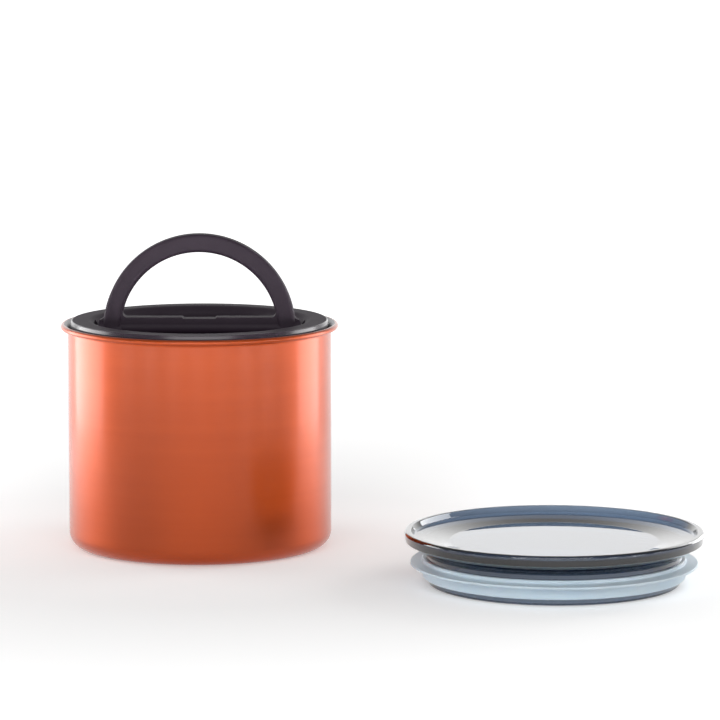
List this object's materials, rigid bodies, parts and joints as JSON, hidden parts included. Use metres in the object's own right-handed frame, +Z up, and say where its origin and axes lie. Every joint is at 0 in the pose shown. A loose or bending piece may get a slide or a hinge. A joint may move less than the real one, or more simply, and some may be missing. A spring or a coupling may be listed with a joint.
{
  "type": "coffee canister",
  "caption": "Round copper-coloured steel coffee canister with a black plunger lid, fold-down handle and vent valve, and a clear smoked outer lid with a soft gasket lying beside it.",
  "frame": {"origin": "centre of the canister's flat base, on the surface it stands on", "axes": "+Z up along the canister's axis; -Y is the pictured front; +X to the right, along the handle's pivots"},
  "size_m": [0.2867, 0.2224, 0.143],
  "materials": {
    "copper_steel": "brushed, copper-coloured coat outside, bare inside",
    "black_plastic": "fine matte grain",
    "plain_steel": "bright",
    "grey_silicone": "satin",
    "pale_silicone": "translucent satin",
    "smoke_plastic": "clear, polished"
  },
  "bodies": {
    "canister": {"canister_shell": "copper_steel"},
    "plunger": {"plunger_frame": "black_plastic", "plunger_base_plate": "black_plastic", "plunger_lip_seal": "grey_silicone", "pivot_pin_left": "plain_steel", "pivot_pin_right": "plain_steel", "valve_seat": "grey_silicone", "valve_spring": "plain_steel"},
    "handle": {"plunger_handle": "black_plastic"},
    "valve": {"valve_stem": "black_plastic", "valve_disc": "grey_silicone", "valve_clip": "plain_steel"},
    "lid": {"lid_shell": "smoke_plastic", "lid_gasket": "pale_silicone"}
  },
  "joints": [
    {"name": "plunger_slide", "type": "slide", "parent": "canister", "child": "plunger", "axis": [0, 0, 1], "range_m": [-0.064, 0.12]},
    {"name": "handle_fold", "type": "hinge", "parent": "plunger", "child": "handle", "pos_m": [0, 0, 0.0992], "axis": [1, 0, 0], "range_deg": [0, 90]},
    {"name": "valve_slide", "type": "slide", "parent": "plunger", "child": "valve", "axis": [0, 0, -1], "range_m": [0, 0.002], "deforming": ["valve_spring"]},
    {"name": "lid_lift", "type": "slide", "parent": "canister", "child": "lid", "axis": [0, 0, 1], "range_m": [0, 0.15]}
  ],
  "couplings": [
    {"joint": "handle_fold", "follows": "valve_slide", "rad_per_m": 785.4}
  ]
}
